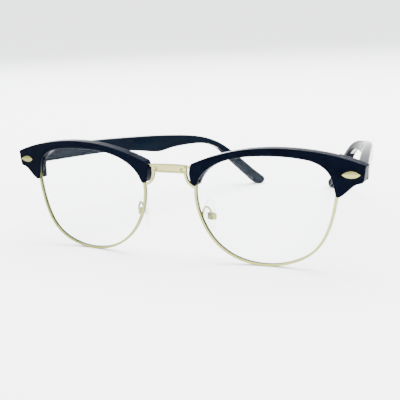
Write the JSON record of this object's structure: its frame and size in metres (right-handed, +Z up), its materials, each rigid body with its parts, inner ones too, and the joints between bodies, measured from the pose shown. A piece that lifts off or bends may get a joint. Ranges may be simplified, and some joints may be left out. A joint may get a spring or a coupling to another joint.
{
  "type": "half rim eyeglasses",
  "caption": "Half rim eyeglasses: gold wire eyewires and bridge under glossy dark brow pieces, clear lenses, rocking nose pads and folding temples.",
  "frame": {"origin": "on the table, under the middle of the bounding box, between the eyewires and the temple tips", "axes": "+X to the right of someone facing the front, +Y back along the temples, +Z up"},
  "size_m": [0.1398, 0.1328, 0.0415],
  "materials": {
    "plastic": "glossy near-black navy acetate",
    "gold": "polished light gold plating",
    "steel": "small polished steel screws and hinges",
    "lens": "clear plano lens",
    "pad": "clear soft plastic"
  },
  "bodies": {
    "frame": {"bridge": "gold", "left_brow": "plastic", "left_brow_rivet": "gold", "left_brow_screw": "steel", "left_brow_tab": "gold", "left_closing_block": "gold", "left_eyewire": "gold", "left_hinge_front_leaf": "steel", "left_hinge_screw": "steel", "left_lens": "lens", "left_pad_arm": "gold", "left_pad_box": "gold", "left_pad_screw": "steel", "left_rim_screw": "steel", "right_brow": "plastic", "right_brow_rivet": "gold", "right_brow_screw": "steel", "right_brow_tab": "gold", "right_closing_block": "gold", "right_eyewire": "gold", "right_hinge_front_leaf": "steel", "right_hinge_screw": "steel", "right_lens": "lens", "right_pad_arm": "gold", "right_pad_box": "gold", "right_pad_screw": "steel", "right_rim_screw": "steel"},
    "right_temple_arm": {"right_temple": "plastic", "right_temple_core": "steel", "right_hinge_temple_leaf": "steel"},
    "right_pad": {"right_nose_pad": "pad", "right_pad_insert": "steel"},
    "left_temple_arm": {"left_temple": "plastic", "left_temple_core": "steel", "left_hinge_temple_leaf": "steel"},
    "left_pad": {"left_nose_pad": "pad", "left_pad_insert": "steel"}
  },
  "joints": [
    {"name": "right_temple_fold", "type": "hinge", "parent": "frame", "child": "right_temple_arm", "pos_m": [0.0636, -0.05425, 0.03317], "axis": [0, 0, 1], "range_deg": [-13.5, 70.5]},
    {"name": "left_temple_fold", "type": "hinge", "parent": "frame", "child": "left_temple_arm", "pos_m": [-0.0636, -0.05425, 0.03317], "axis": [0, 0, -1], "range_deg": [-13.5, 61.5]},
    {"name": "right_pad_rock", "type": "hinge", "parent": "frame", "child": "right_pad", "pos_m": [0.0146, -0.06105, 0.01565], "axis": [-0.4695, -0.8829, 0], "range_deg": [-8, 8]},
    {"name": "left_pad_rock", "type": "hinge", "parent": "frame", "child": "left_pad", "pos_m": [-0.0146, -0.06105, 0.01565], "axis": [0.4695, -0.8829, 0], "range_deg": [-8, 8]}
  ]
}
